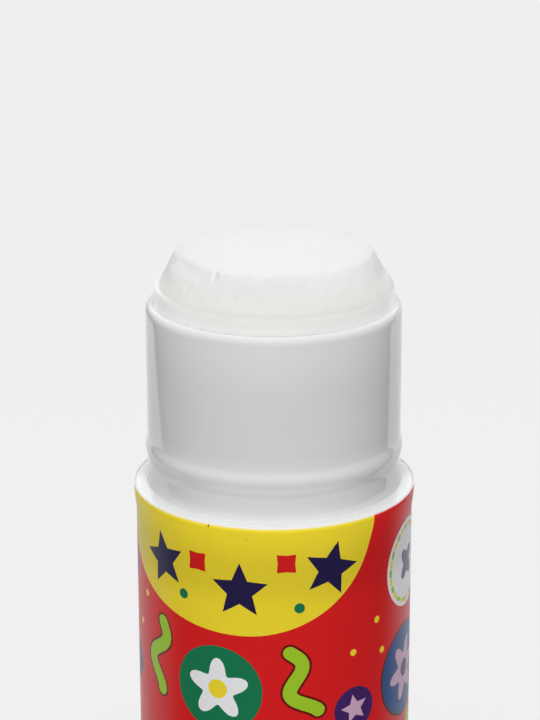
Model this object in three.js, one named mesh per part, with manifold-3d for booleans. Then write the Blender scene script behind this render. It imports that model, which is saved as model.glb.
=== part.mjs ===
// Twist-up glue stick with its cap taken off.
// A moulded barrel in a printed film holds a column of solid glue. The glue stands in a carrier, which a
// left-hand screw lifts when the ribbed knob under the barrel is turned. Ribs in the bore keep the carrier
// from turning with the screw. The glue is shown wound out a little above the rim.
// Sizes are in millimetres, +Z is up, and the origin is the middle of the knob's foot.

import * as THREE from 'three';
import { mergeVertices } from 'three/addons/utils/BufferGeometryUtils.js';
import Module from 'manifold-3d';

const wasm = await Module();
wasm.setup();

// Facets round every turned surface, and round one turn of the screw thread
const ROUND_FACETS = 60;
const THREAD_FACETS = 20;

// Barrel: the straight body under its printed film, which flares a little just below the shoulder
const BODY_DIAMETER = 26;
const BODY_LENGTH = 62.7;
const BODY_EDGE = 0.3;
const SHOULDER_EDGE = 0.12;
const FLARE = 0.2;
const FLARE_LENGTH = 2.8;
const FLARE_BAND = 0.6;
const FILM_THICKNESS = 0.12;
const FILM_CLEARANCE = 0.04;
const FILM_TOP_MARGIN = 0.08;
const FILM_FOOT_MARGIN = 0.6;

// Barrel: the neck that the cap slides over, with its snap bead and its rounded rim
const SHOULDER_WIDTH = 1.12;
const NECK_HEIGHT = 17.4;
const NECK_WALL = 0.76;
const NECK_FILLET = 0.4;
const BEAD_HEIGHT = 3.65;
const BEAD_LENGTH = 2.5;
const BEAD_PROUD = 0.17;
const RIM_ROUNDING = 0.8;

// Barrel: guide ribs in the bore, and the socket for the knob's collar
const GUIDE_RIBS = 4;
const RIB_WIDTH = 1.4;
const RIB_DEPTH = 0.4;
const SOCKET_WALL = 0.85;
const SOCKET_DEPTH = 5;

// Knob: a cup with a flat foot, grip ribs and a collar that snaps into the barrel
const KNOB_HEIGHT = 10;
const KNOB_WALL = 1.5;
const KNOB_FLOOR = 1.8;
const KNOB_CLEARANCE = 0.3;
const FOOT_RING = 2.6;
const FOOT_DISH = 0.5;
const FOOT_ROUNDING = 0.8;
const GRIP_RIBS = 30;
const GRIP_RADIUS = 0.55;
const GRIP_MARGIN = 1.1;
const COLLAR_WALL = 1;
const COLLAR_CLEARANCE = 0.2;
const SNAP_PROUD = 0.3;
const SNAP_LENGTH = 1.4;
const SNAP_HEIGHT = 2.9;
const WEB_THICKNESS = 0.9;
const KNOB_WEBS = 6;
const WEB_HEIGHT = 3;

// Screw: hexagonal foot, flange, core and coarse thread
const PITCH = 5;
const CORE_DIAMETER = 5.8;
const THREAD_HEIGHT = 1.1;
const THREAD_ROOT = 2.6;
const THREAD_CREST = 1.4;
const THREAD_CLEARANCE = 0.3;
const TIP_LENGTH = 1.2;
const HEX_WIDTH = 6.4;
const HEX_LENGTH = 4.6;
const HEX_CLEARANCE = 0.1;
const HEX_WALL = 1.6;
const FLANGE_WIDTH = 1.1;
const FLANGE_THICKNESS = 1.2;

// Carrier: cup under the glue, skirt with two sealing lips, and threaded boss
const CUP_DEPTH = 4;
const CUP_WALL = 0.85;
const CARRIER_FLOOR = 1.2;
const CARRIER_CLEARANCE = 0.12;
const SKIRT_DEPTH = 9.7;
const SKIRT_WALL = 0.75;
const LIP_LENGTH = 1.1;
const LIP_PROUD = 0.15;
const BOSS_WALL = 1.7;
const NOTCH_CLEARANCE = 0.15;
const CARRIER_WEBS = 4;

// Glue: a cast column with a cone and a flat top
const GLUE_CLEARANCE = 0.1;
const GLUE_CONE = 3.35;
const GLUE_CONE_WIDTH = 1.87;
const GLUE_EDGE = 0.3;
const BORE_CLEARANCE = 0.35;

// Travel: how far the glue stands out as shown, how far it sinks below the rim when it is wound right
// down to the carrier's stop above the knob's collar, and how near the cup then comes to the rim when it
// is wound right up, with a length of thread and of guide rib still in the carrier
const GLUE_OUT = 4.9;
const GLUE_SUNK = 2;
const CARRIER_STOP = 0.4;
const CUP_BELOW_RIM = 0.5;
const THREAD_HOLD = 4.1;
const RIB_HOLD = 2.3;

// Depth by which a joined piece starts inside the piece that it stands on, so that the two become one
const ROOT = 0.3;

// Radii that several pieces share
const filmRadius = BODY_DIAMETER / 2;
const bodyRadius = filmRadius - FILM_THICKNESS - FILM_CLEARANCE;
const neckRadius = filmRadius - SHOULDER_WIDTH;
const boreRadius = neckRadius - NECK_WALL;
const socketRadius = bodyRadius - SOCKET_WALL;
const collarRadius = socketRadius - COLLAR_CLEARANCE;
const collarBore = collarRadius - COLLAR_WALL;
const carrierRadius = boreRadius - CARRIER_CLEARANCE;
const cupRadius = carrierRadius - CUP_WALL;
const coreRadius = CORE_DIAMETER / 2;
const crestRadius = coreRadius + THREAD_HEIGHT;
const hexSocketRadius = (HEX_WIDTH / 2 + HEX_CLEARANCE) / Math.cos(Math.PI / 6);
const knobBossRadius = hexSocketRadius + HEX_WALL;
const carrierBossRadius = crestRadius + THREAD_CLEARANCE + BOSS_WALL;

// Heights above the foot
const barrelFoot = KNOB_HEIGHT + KNOB_CLEARANCE;
const socketTop = barrelFoot + SOCKET_DEPTH;
const collarTop = socketTop - KNOB_CLEARANCE;
const snapHeight = barrelFoot + SNAP_HEIGHT;
const shoulder = barrelFoot + BODY_LENGTH;
const rim = shoulder + NECK_HEIGHT;
const raisedCarrierFoot = rim - CUP_BELOW_RIM - CUP_DEPTH - SKIRT_DEPTH;
const ribTop = raisedCarrierFoot + RIB_HOLD;
const glueTop = rim + GLUE_OUT;
const travelDown = GLUE_OUT + GLUE_SUNK;
const cupFloor = collarTop + CARRIER_STOP + SKIRT_DEPTH + travelDown;
const knobFloor = FOOT_DISH + KNOB_FLOOR;
const hexFoot = knobFloor + KNOB_CLEARANCE;
const flangeFoot = hexFoot + HEX_LENGTH;
const knobBossTop = flangeFoot - KNOB_CLEARANCE;
const threadFoot = collarTop;
const threadTop = raisedCarrierFoot + THREAD_HOLD;
const screwTip = threadTop + TIP_LENGTH;

// A geometry as a solid that can be joined and cut. Triangles that shrink to nothing on the axis go.
function solid(geometry) {
  geometry.deleteAttribute('normal');
  geometry.deleteAttribute('uv');
  const merged = mergeVertices(geometry);
  const corners = merged.index.array;
  const triangles = [];
  for (let i = 0; i < corners.length; i += 3) {
    const [a, b, c] = corners.slice(i, i + 3);
    if (a !== b && b !== c && c !== a) triangles.push(a, b, c);
  }
  return new wasm.Manifold(new wasm.Mesh({
    numProp: 3,
    vertProperties: new Float32Array(merged.attributes.position.array),
    triVerts: new Uint32Array(triangles),
  }));
}

// A named piece of the scene, made from a solid
function piece(name, shape, color, roughness) {
  const mesh = shape.getMesh();
  const geometry = new THREE.BufferGeometry();
  geometry.setAttribute('position', new THREE.BufferAttribute(new Float32Array(mesh.vertProperties), 3));
  geometry.setIndex(new THREE.BufferAttribute(new Uint32Array(mesh.triVerts), 1));
  geometry.computeVertexNormals();
  const material = new THREE.MeshStandardMaterial({ color, roughness, metalness: 0 });
  const result = new THREE.Mesh(geometry, material);
  result.name = name;
  return result;
}

// A solid turned about Z. The profile's [radius, height] points run up the outside and down the inside.
function turned(profile, facets = ROUND_FACETS) {
  const points = profile.map(([radius, height]) => new THREE.Vector2(radius, height));
  return solid(new THREE.LatheGeometry(points, facets).rotateX(Math.PI / 2));
}

// An upright prism with its lower face at a given height
function prism(radius, foot, height, sides) {
  const geometry = new THREE.CylinderGeometry(radius, radius, height, sides);
  return solid(geometry.rotateX(Math.PI / 2).translate(0, 0, foot + height / 2));
}

// Copies of a bar that runs out from one radius to another, spread evenly round the axis
function radialBars(count, { from, to, width, foot, top }) {
  const bars = [];
  for (let i = 0; i < count; i += 1) {
    const geometry = new THREE.BoxGeometry(to - from, width, top - foot);
    geometry.translate((from + to) / 2, 0, (foot + top) / 2);
    geometry.rotateZ((i + 0.5) * 2 * Math.PI / count);
    bars.push(solid(geometry));
  }
  return bars.reduce((all, bar) => all.add(bar));
}

// Part of a circle from one direction to another, as profile points
function arc(centre, radius, fromDegrees, toDegrees, steps) {
  const points = [];
  for (let i = 0; i <= steps; i += 1) {
    const angle = THREE.MathUtils.degToRad(fromDegrees + (toDegrees - fromDegrees) * i / steps);
    points.push([centre[0] + radius * Math.cos(angle), centre[1] + radius * Math.sin(angle)]);
  }
  return points;
}

// The left-hand thread as a ridge that winds up from one height to another, grown by a clearance on
// every side. Its steps are set by the height alone, so that a nut cut with it fits the screw.
function threadRidge(from, to, clearance) {
  const innerRadius = coreRadius - ROOT;
  const outerRadius = crestRadius + clearance;
  const rootHalf = THREAD_ROOT / 2 + clearance;
  const crestHalf = THREAD_CREST / 2 + clearance;
  const section = [[innerRadius, -rootHalf], [outerRadius, -crestHalf], [outerRadius, crestHalf],
    [innerRadius, rootHalf]];
  const firstStep = Math.ceil(from / PITCH * THREAD_FACETS);
  const steps = Math.floor(to / PITCH * THREAD_FACETS) - firstStep;
  const positions = [];
  const indices = [];
  for (let step = 0; step <= steps; step += 1) {
    const turns = (firstStep + step) / THREAD_FACETS;
    const height = turns * PITCH;
    const angle = -2 * Math.PI * turns;
    for (const [radius, rise] of section) {
      positions.push(radius * Math.cos(angle), radius * Math.sin(angle), height + rise);
    }
  }
  const corner = (step, i) => step * section.length + i % section.length;
  for (let step = 0; step < steps; step += 1) {
    for (let i = 0; i < section.length; i += 1) {
      const [a, b] = [corner(step, i), corner(step, i + 1)];
      const [c, d] = [corner(step + 1, i), corner(step + 1, i + 1)];
      indices.push(a, b, c, b, d, c);
    }
  }
  indices.push(corner(0, 0), corner(0, 2), corner(0, 1), corner(0, 0), corner(0, 3), corner(0, 2));
  indices.push(corner(steps, 0), corner(steps, 1), corner(steps, 2));
  indices.push(corner(steps, 0), corner(steps, 2), corner(steps, 3));
  const geometry = new THREE.BufferGeometry();
  geometry.setAttribute('position', new THREE.Float32BufferAttribute(positions, 3));
  geometry.setIndex(indices);
  return solid(geometry);
}

// The neck's outline from the fillet at the shoulder up over the bead and the rim into the bore. The rim
// is rounded further down on the outside than on the inside.
function neckOutline() {
  const filletCentre = [neckRadius + NECK_FILLET, shoulder + NECK_FILLET];
  const points = arc(filletCentre, NECK_FILLET, 270, 180, 3);
  const beadSteps = 8;
  for (let i = 0; i <= beadSteps; i += 1) {
    const part = i / beadSteps - 0.5;
    const proud = BEAD_PROUD * (1 + Math.cos(2 * Math.PI * part)) / 2;
    points.push([neckRadius + proud, shoulder + BEAD_HEIGHT + BEAD_LENGTH * part]);
  }
  const lip = NECK_WALL / 2;
  const lipSteps = 8;
  for (let i = 0; i <= lipSteps; i += 1) {
    const angle = Math.PI * i / lipSteps;
    const depth = angle < Math.PI / 2 ? RIM_ROUNDING : lip;
    points.push([neckRadius - lip + lip * Math.cos(angle), rim - depth * (1 - Math.sin(angle))]);
  }
  return points;
}

// The foot and the top of the body's flare below the shoulder, for a surface of a given radius
function flareOutline(radius) {
  return [[radius, shoulder - FLARE_LENGTH], [radius + FLARE, shoulder - FLARE_BAND]];
}

function barrel() {
  const snapHalf = SNAP_LENGTH / 2 + COLLAR_CLEARANCE;
  const shell = turned([
    [socketRadius, barrelFoot],
    [bodyRadius - BODY_EDGE, barrelFoot],
    [bodyRadius, barrelFoot + BODY_EDGE],
    ...flareOutline(bodyRadius),
    [bodyRadius + FLARE, shoulder - SHOULDER_EDGE],
    [bodyRadius + FLARE - SHOULDER_EDGE, shoulder],
    ...neckOutline(),
    [boreRadius, socketTop],
    [socketRadius, socketTop],
    [socketRadius, snapHeight + snapHalf],
    [socketRadius + SNAP_PROUD, snapHeight],
    [socketRadius, snapHeight - snapHalf],
    [socketRadius, barrelFoot],
  ]);
  const ribs = radialBars(GUIDE_RIBS, {
    from: boreRadius - RIB_DEPTH,
    to: boreRadius + ROOT,
    width: RIB_WIDTH,
    foot: socketTop + ROOT,
    top: ribTop,
  });
  return piece('barrel', shell.add(ribs), 0xe9eaea, 0.32);
}

function printedLabel() {
  const foot = barrelFoot + FILM_FOOT_MARGIN;
  const top = shoulder - FILM_TOP_MARGIN;
  const inner = filmRadius - FILM_THICKNESS;
  const film = turned([
    [inner, foot],
    [filmRadius, foot],
    ...flareOutline(filmRadius),
    [filmRadius + FLARE, top],
    [inner + FLARE, top],
    ...flareOutline(inner).reverse(),
    [inner, foot],
  ]);
  return piece('printed_label', film, 0xc81e22, 0.3);
}

function twistKnob() {
  const wallRadius = bodyRadius - GRIP_RADIUS;
  const dishRadius = wallRadius - FOOT_RING;
  const cavityRadius = Math.min(collarBore, wallRadius - KNOB_WALL);
  const snapHalf = SNAP_LENGTH / 2;
  const body = turned([
    [0, FOOT_DISH],
    [dishRadius - FOOT_DISH, FOOT_DISH],
    [dishRadius, 0],
    [wallRadius - FOOT_ROUNDING, 0],
    ...arc([wallRadius - FOOT_ROUNDING, FOOT_ROUNDING], FOOT_ROUNDING, 300, 360, 2),
    ...arc([wallRadius - BODY_EDGE, KNOB_HEIGHT - BODY_EDGE], BODY_EDGE, 0, 90, 2),
    [collarRadius, KNOB_HEIGHT],
    [collarRadius, snapHeight - snapHalf],
    [collarRadius + SNAP_PROUD, snapHeight],
    [collarRadius, snapHeight + snapHalf],
    [collarRadius, collarTop - BODY_EDGE],
    [collarRadius - BODY_EDGE, collarTop],
    [cavityRadius, collarTop],
    [cavityRadius, knobFloor],
    [knobBossRadius, knobFloor],
    [knobBossRadius, knobBossTop],
    [0, knobBossTop],
  ]);
  const webs = radialBars(KNOB_WEBS, {
    from: knobBossRadius - ROOT,
    to: cavityRadius + ROOT,
    width: WEB_THICKNESS,
    foot: knobFloor - ROOT,
    top: knobFloor + WEB_HEIGHT,
  });
  const hexDepth = knobBossTop - knobFloor;
  const hexSocket = prism(hexSocketRadius, knobFloor, hexDepth + ROOT, 6);
  return piece('twist_knob', body.add(webs).add(gripRibs(wallRadius)).subtract(hexSocket), 0xecebe8, 0.4);
}

// Half-round ribs round the knob, for the fingers
function gripRibs(wallRadius) {
  const ribs = [];
  for (let i = 0; i < GRIP_RIBS; i += 1) {
    const rib = prism(GRIP_RADIUS, GRIP_MARGIN, KNOB_HEIGHT - 2 * GRIP_MARGIN, 8);
    ribs.push(rib.translate([wallRadius, 0, 0]).rotate([0, 0, 360 * i / GRIP_RIBS]));
  }
  return ribs.reduce((all, rib) => all.add(rib));
}

function driveScrew() {
  const flangeRadius = coreRadius + FLANGE_WIDTH;
  const flangeTop = flangeFoot + FLANGE_THICKNESS;
  const core = turned([
    [0, flangeFoot],
    [flangeRadius, flangeFoot],
    [flangeRadius, flangeTop],
    [coreRadius, flangeTop + FLANGE_WIDTH],
    [coreRadius, threadTop],
    [coreRadius - TIP_LENGTH, screwTip],
    [0, screwTip],
  ], THREAD_FACETS);
  const hexRadius = HEX_WIDTH / 2 / Math.cos(Math.PI / 6);
  const hex = prism(hexRadius, hexFoot, HEX_LENGTH + ROOT, 6);
  const ridge = threadRidge(threadFoot, threadTop - THREAD_ROOT / 2, 0);
  return piece('drive_screw', core.add(hex).add(ridge), 0xe4e4e0, 0.4);
}

function carrier() {
  const skirtFoot = cupFloor - SKIRT_DEPTH;
  const cupRim = cupFloor + CUP_DEPTH;
  const wallRadius = carrierRadius - LIP_PROUD;
  const underside = cupFloor - CARRIER_FLOOR;
  const body = turned([
    [0, skirtFoot],
    [carrierBossRadius, skirtFoot],
    [carrierBossRadius, underside],
    [wallRadius - SKIRT_WALL, underside],
    [wallRadius - SKIRT_WALL, skirtFoot],
    [carrierRadius, skirtFoot],
    [carrierRadius, skirtFoot + LIP_LENGTH],
    [wallRadius, skirtFoot + LIP_LENGTH + LIP_PROUD],
    [wallRadius, cupRim - LIP_LENGTH - LIP_PROUD],
    [carrierRadius, cupRim - LIP_LENGTH],
    [carrierRadius, cupRim],
    [cupRadius, cupRim],
    [cupRadius, cupFloor],
    [0, cupFloor],
  ]);
  const webs = radialBars(CARRIER_WEBS, {
    from: carrierBossRadius - ROOT,
    to: wallRadius - SKIRT_WALL + ROOT,
    width: WEB_THICKNESS,
    foot: skirtFoot + LIP_LENGTH,
    top: underside + ROOT,
  });
  const notches = ribNotches(skirtFoot - ROOT, cupRim + ROOT, NOTCH_CLEARANCE);
  const threadHole = prism(coreRadius + THREAD_CLEARANCE, skirtFoot - ROOT, SKIRT_DEPTH + 2 * ROOT,
    THREAD_FACETS);
  const threadCut = threadRidge(skirtFoot - PITCH, cupFloor + PITCH, THREAD_CLEARANCE);
  const shape = body.add(webs).subtract(notches).subtract(threadHole).subtract(threadCut);
  return piece('carrier', shape, 0xe4e4e0, 0.4);
}

// The slots that leave room for the barrel's guide ribs
function ribNotches(foot, top, clearance) {
  return radialBars(GUIDE_RIBS, {
    from: boreRadius - RIB_DEPTH - clearance,
    to: boreRadius + ROOT,
    width: RIB_WIDTH + 2 * clearance,
    foot,
    top,
  });
}

function glue() {
  const foot = cupFloor + GLUE_CLEARANCE;
  const cupRim = cupFloor + CUP_DEPTH;
  const radius = boreRadius - GLUE_CLEARANCE;
  const footRadius = cupRadius - GLUE_CLEARANCE;
  const screwBore = crestRadius + BORE_CLEARANCE;
  const boreTop = screwTip + travelDown + BORE_CLEARANCE;
  const topRadius = radius - GLUE_CONE_WIDTH;
  const column = turned([
    [0, boreTop],
    [screwBore, boreTop],
    [screwBore, foot],
    [footRadius, foot],
    [footRadius, cupRim + GLUE_CLEARANCE],
    [radius, cupRim + GLUE_CLEARANCE],
    [radius, glueTop - GLUE_CONE],
    [topRadius, glueTop - GLUE_EDGE],
    [topRadius - GLUE_EDGE, glueTop],
    [0, glueTop],
  ]);
  const grooves = ribNotches(foot - ROOT, ribTop + travelDown + NOTCH_CLEARANCE, NOTCH_CLEARANCE);
  return piece('glue', column.subtract(grooves), 0xeceeea, 0.55);
}

const fixed = new THREE.Group();
fixed.add(barrel(), printedLabel());

const turning = new THREE.Group();
turning.add(twistKnob(), driveScrew());

const lifting = new THREE.Group();
lifting.add(carrier(), glue());

const glueStick = new THREE.Group();
glueStick.add(fixed, turning, lifting);

export default glueStick;
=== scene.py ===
import math
import random
import bpy
import numpy as np
from mathutils import Matrix, Vector, noise
from mathutils.geometry import delaunay_2d_cdt


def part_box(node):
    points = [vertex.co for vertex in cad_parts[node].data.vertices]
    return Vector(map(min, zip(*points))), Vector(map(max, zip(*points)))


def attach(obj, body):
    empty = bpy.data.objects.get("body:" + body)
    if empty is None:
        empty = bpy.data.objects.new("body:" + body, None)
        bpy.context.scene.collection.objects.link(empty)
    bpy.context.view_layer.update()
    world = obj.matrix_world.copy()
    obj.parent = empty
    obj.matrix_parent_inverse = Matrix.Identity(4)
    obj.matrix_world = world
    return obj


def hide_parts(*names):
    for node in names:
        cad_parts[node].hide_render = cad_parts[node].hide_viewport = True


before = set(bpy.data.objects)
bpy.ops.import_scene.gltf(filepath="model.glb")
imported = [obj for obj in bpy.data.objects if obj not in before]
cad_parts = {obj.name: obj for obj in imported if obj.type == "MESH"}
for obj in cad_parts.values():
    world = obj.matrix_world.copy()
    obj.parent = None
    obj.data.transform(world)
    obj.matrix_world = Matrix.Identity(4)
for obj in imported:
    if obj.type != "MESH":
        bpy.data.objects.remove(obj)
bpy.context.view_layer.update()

MM = 0.001

# Lengths that differ by less than this are the same
SAME = 1e-7

# Points round the turned pieces, and round each of the knob's ribs
ROUND = 192
GLUE_ROUND = 480
RIB_ROUND = 16

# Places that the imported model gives
barrel_low, barrel_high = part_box("barrel")
film_low, film_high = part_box("printed_label")
glue_low, glue_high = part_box("glue")
knob_low, knob_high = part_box("twist_knob")
RIM = barrel_high.z
BARREL_FOOT = barrel_low.z
FILM_FOOT = film_low.z
LIP_RADIUS = film_high.x
GLUE_TOP = glue_high.z
GLUE_RADIUS = glue_high.x

# Sizes of the barrel and its film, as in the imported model, except that the bead has a rounder form here and
# the film's cut edge stands a little over the shoulder
NECK_HEIGHT = 17.4 * MM
SHOULDER = RIM - NECK_HEIGHT
FLARE = 0.2 * MM
FILM_RADIUS = LIP_RADIUS - FLARE
FILM_THICKNESS = 0.12 * MM
FILM_GAP = 0.04 * MM
FILM_TOP = SHOULDER + 0.05 * MM
BODY_RADIUS = FILM_RADIUS - FILM_THICKNESS - FILM_GAP
NECK_RADIUS = FILM_RADIUS - 1.12 * MM
NECK_WALL = 0.76 * MM
BORE_RADIUS = NECK_RADIUS - NECK_WALL
NECK_FILLET = 0.16 * MM
NECK_STEP = 0.03 * MM
BEAD_HEIGHT = 3.6 * MM
BEAD_PROUD = 0.17 * MM
BEAD_BELOW = 1.45 * MM
BEAD_ABOVE = 1.35 * MM
LIP_WIDTH = 0.42 * MM
LIP_DEPTH = 0.8 * MM
LIP_INNER = 0.06 * MM
FLARE_START = 2.8 * MM
FLARE_END = 0.5 * MM
SHOULDER_EDGE = 0.05 * MM
BODY_EDGE = 0.3 * MM
SOCKET_WALL = 0.85 * MM
SOCKET_DEPTH = 5 * MM
SNAP_HEIGHT = 2.9 * MM
SNAP_HALF = 0.9 * MM
SNAP_DEPTH = 0.3 * MM

# Sizes of the knob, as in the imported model
KNOB_HEIGHT = 10 * MM
KNOB_FLOOR = 2.3 * MM
KNOB_EDGE = 0.3 * MM
FOOT_RING = 2.6 * MM
FOOT_DISH = 0.5 * MM
FOOT_ROUNDING = 0.8 * MM
GRIP_RIBS = 30
GRIP_RADIUS = 0.55 * MM
GRIP_MARGIN = 1.1 * MM
GRIP_SEAM = 0.05 * MM
COLLAR_CLEARANCE = 0.2 * MM
COLLAR_WALL = 1 * MM
COLLAR_SNAP_HALF = 0.7 * MM
BOSS_RADIUS = 5.4 * MM
BOSS_HEIGHT = 4.6 * MM
HEXAGON = 3.3 * MM
KNOB_WEBS = 6
WEB_HALF = 0.45 * MM
WEB_HEIGHT = 3.2 * MM
WEB_ROOT = 0.2 * MM

# Sizes of the glue and of the carrier that holds it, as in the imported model
CONE_HEIGHT = 3.35 * MM
CONE_WIDTH = 1.87 * MM
CONE_EDGE = 0.3 * MM
CONE_FOOT_DROP = 0.25 * MM
CONE_FOOT_ROUNDING = 0.8 * MM
GLUE_BORE = 4.35 * MM
GLUE_BORE_DROP = 1.9 * MM
GLUE_SIDE_GAP = 0.03 * MM
GLUE_CLEARANCE = 0.1 * MM
CUP_WALL = 0.85 * MM
CUP_STEP = 3.9 * MM
CARRIER_CLEARANCE = 0.12 * MM

# The glue's looks: how deep light enters, and its painted shades at the side, the cone's foot and head, and
# the top, which paint the side paler and the rest darker for how light falls on them
GLUE_DEPTH = 0.7 * MM
SIDE_PAINTED_SHADE = (0.988, 0.995, 0.955)
FOOT_PAINTED_SHADE = (0.76, 0.76, 0.735)
HEAD_PAINTED_SHADE = (0.755, 0.757, 0.758)
TOP_PAINTED_SHADE = (0.77, 0.775, 0.775)

# Marks of wear on the glue, some with painted shade in them, and the cone's sides where painted light is
# added, each with its azimuth in degrees, to the right from the photographed side, and its reach on both
# sides of that
CUT = (-62, 36)
NICK = (-34, 2.4)
NICK_LIP = (-36.5, 2.0)
RAG = (86, 17)
MARK = (-19.3, 1.0)
FLECK = (13, 1.1)
SCRAPE = (-92, 48)
DENT = (-86, 16)
DENT_SHADE = (-84, 9)
SWELLING = (60, 70)
RUBBED = (88, 30)
SPECK = (98.9, 1.8)
PAINTED_LIGHT_RIGHT = (40, 40)
PAINTED_LIGHT_LEFT = (-40, 30)

# The film's print. It is laid out flat, in millimetres: across from the middle of the photographed side,
# to the right, and up from the shoulder.
PRINT_RADIUS = FILM_RADIUS / MM
PRINT_WIDTH = 2 * math.pi * PRINT_RADIUS
PRINT_TOP = (FILM_TOP - SHOULDER) / MM
PRINT_FOOT = (FILM_FOOT - SHOULDER) / MM
PRINT_COLUMNS = 120

# Its cut edge: the points along it, the width of bare film, the row of points under that, how far the edge
# is chipped and waved, the depth of its outward turn and how far that leans
EDGE_POINTS = 720
CUT_EDGE = 0.06
EDGE_ROW = 0.27
EDGE_CHIPS = 0.1
EDGE_WAVES = 0.04
TURN_DEPTH = 0.5 * MM
TURN_LEAN = 0.7

# The strewn motifs: how often one is tried, their sizes, the gap between two, the range of their middles,
# and the left and lower limits of the photographed print, which they stay out of
MOTIF_TRIES = 900
MOTIF_SIZES = (1.6, 2.2, 3.0)
MOTIF_GAP = 1.1
MOTIFS_ACROSS = (-38.5, 21.0)
MOTIFS_UP = (-46.0, -3.5)
MOTIF_INKS = ("yellow", "lime", "green", "blue", "purple")
PHOTO_LEFT = -21.5
PHOTO_FOOT = -24.0

# The film's inner face stands this far off the body, in millimetres
INNER_GAP = 0.01

# The photograph's camera, fitted to the outlines of the neck, the shoulder and the glue
CAMERA_PLACE = Vector((-0.074 * MM, -226.879 * MM, SHOULDER + 85.657 * MM))
CAMERA_PITCH = math.radians(18.078)
CAMERA_YAW = math.radians(-0.073)
CAMERA_ROLL = math.radians(-0.127)
FOCAL_LENGTH = 2567.046
IMAGE_HEIGHT = 720
SENSOR_HEIGHT = 24.0


def srgb(red, green, blue):
    """A linear colour from 8-bit display values."""
    def linear(value):
        value /= 255
        return value / 12.92 if value <= 0.04045 else ((value + 0.055) / 1.055) ** 2.4
    return (linear(red), linear(green), linear(blue), 1.0)


def add_object(name, data):
    added = bpy.data.objects.new(name, data)
    bpy.context.scene.collection.objects.link(added)
    return added


def add_mesh(name, vertices, faces, material, body, sharp=40):
    """A smooth-shaded piece that rides on a body, with its edges kept sharp above an angle in degrees."""
    mesh = bpy.data.meshes.new(name)
    mesh.from_pydata(vertices, [], faces)
    mesh.validate()
    mesh.update()
    for polygon in mesh.polygons:
        polygon.use_smooth = True
    mesh.set_sharp_from_angle(angle=math.radians(sharp))
    piece = add_object(name, mesh)
    if material:
        mesh.materials.append(material)
    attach(piece, body)
    return piece


def add_shades(piece, name, color_at):
    """A colour for each point of a piece, which its material reads by name."""
    shades = piece.data.color_attributes.new(name, "FLOAT_COLOR", "POINT")
    for vertex in piece.data.vertices:
        shades.data[vertex.index].color = (*color_at(vertex.index, vertex.co), 1.0)


def turned(profile, segments=ROUND, shift=None):
    """Vertices and faces of a profile of (radius, height) points turned about Z. The profile runs up the
    outside and down the inside, and closes on itself or starts and ends on the axis."""
    vertices = []
    rings = []
    for radius, height in profile:
        if radius == 0:
            rings.append([len(vertices)] * segments)
            vertices.append(shift(Vector((0, 0, height)), 0) if shift else Vector((0, 0, height)))
            continue
        rings.append(list(range(len(vertices), len(vertices) + segments)))
        for i in range(segments):
            angle = 2 * math.pi * i / segments
            point = Vector((radius * math.cos(angle), radius * math.sin(angle), height))
            vertices.append(shift(point, angle) if shift else point)
    closed = profile[0][0] != 0
    pairs = list(zip(rings, rings[1:])) + ([(rings[-1], rings[0])] if closed else [])
    faces = []
    for lower, upper in pairs:
        for i in range(segments):
            j = (i + 1) % segments
            corners = [lower[i], lower[j], upper[j], upper[i]]
            face = [corner for k, corner in enumerate(corners) if corner != corners[k - 1]]
            if len(face) > 2:
                faces.append(face)
    return vertices, faces


def polar(across, up, radius, angle):
    """The flat point at a distance and a direction from another one."""
    return across + radius * math.cos(angle), up + radius * math.sin(angle)


def arc(centre, radius, start, end, steps):
    """Profile points on part of a circle, from one direction in degrees to another."""
    points = []
    for i in range(steps + 1):
        angle = math.radians(start + (end - start) * i / steps)
        points.append(polar(*centre, radius, angle))
    return points


def span(start, end, steps):
    """Evenly spaced values between two, without the ends."""
    return [start + (end - start) * i / steps for i in range(1, steps)]


def bump(value, centre, below, above):
    """A smooth hill of height 1, with its own reach on each side of its centre."""
    part = (centre - value) / below if value < centre else (value - centre) / above
    return (1 + math.cos(math.pi * part)) / 2 if part < 1 else 0


def ramp(value, start, end):
    """A smooth step from 0 to 1 between two values."""
    part = min(max((value - start) / (end - start), 0), 1)
    return part * part * (3 - 2 * part)


# Materials

def new_material(name):
    material = bpy.data.materials.new(name)
    material.use_nodes = True
    nodes = material.node_tree.nodes
    return material, nodes, material.node_tree.links, nodes["Principled BSDF"]


def noise_node(nodes, links, scale, detail=2.0, roughness=0.5):
    """Noise in the object's own space, at so many features a metre."""
    coordinates = nodes.new("ShaderNodeTexCoord")
    texture = nodes.new("ShaderNodeTexNoise")
    texture.inputs["Scale"].default_value = scale
    texture.inputs["Detail"].default_value = detail
    texture.inputs["Roughness"].default_value = roughness
    links.new(coordinates.outputs["Object"], texture.inputs["Vector"])
    return texture


def fill(links, socket, value):
    """Links a socket to another one, or sets it to a value."""
    if isinstance(value, bpy.types.NodeSocket):
        links.new(value, socket)
    else:
        socket.default_value = value


def math_node(nodes, links, operation, first, second):
    node = nodes.new("ShaderNodeMath")
    node.operation = operation
    fill(links, node.inputs[0], first)
    fill(links, node.inputs[1], second)
    return node.outputs[0]


def mixed_color(nodes, links, share, first, second):
    """A mix of two colours, with the second one's share."""
    node = nodes.new("ShaderNodeMix")
    node.data_type = "RGBA"
    for name, value in (("Factor", share), ("A", first), ("B", second)):
        fill(links, node.inputs[name], value)
    return node.outputs["Result"]


def mixed_shader(nodes, links, share, first, second):
    """A mix of two shader nodes, with the second one's share."""
    node = nodes.new("ShaderNodeMixShader")
    links.new(share, node.inputs["Fac"])
    links.new(first.outputs[0], node.inputs[1])
    links.new(second.outputs[0], node.inputs[2])
    return node


def ramp_node(nodes, links, value, start, end, low=0.0, high=1.0):
    """A smooth step of a value from one height to another."""
    node = nodes.new("ShaderNodeMapRange")
    node.interpolation_type = "SMOOTHSTEP"
    for name, number in (("From Min", start), ("From Max", end), ("To Min", low), ("To Max", high)):
        node.inputs[name].default_value = number
    links.new(value, node.inputs["Value"])
    return node.outputs["Result"]


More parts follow.
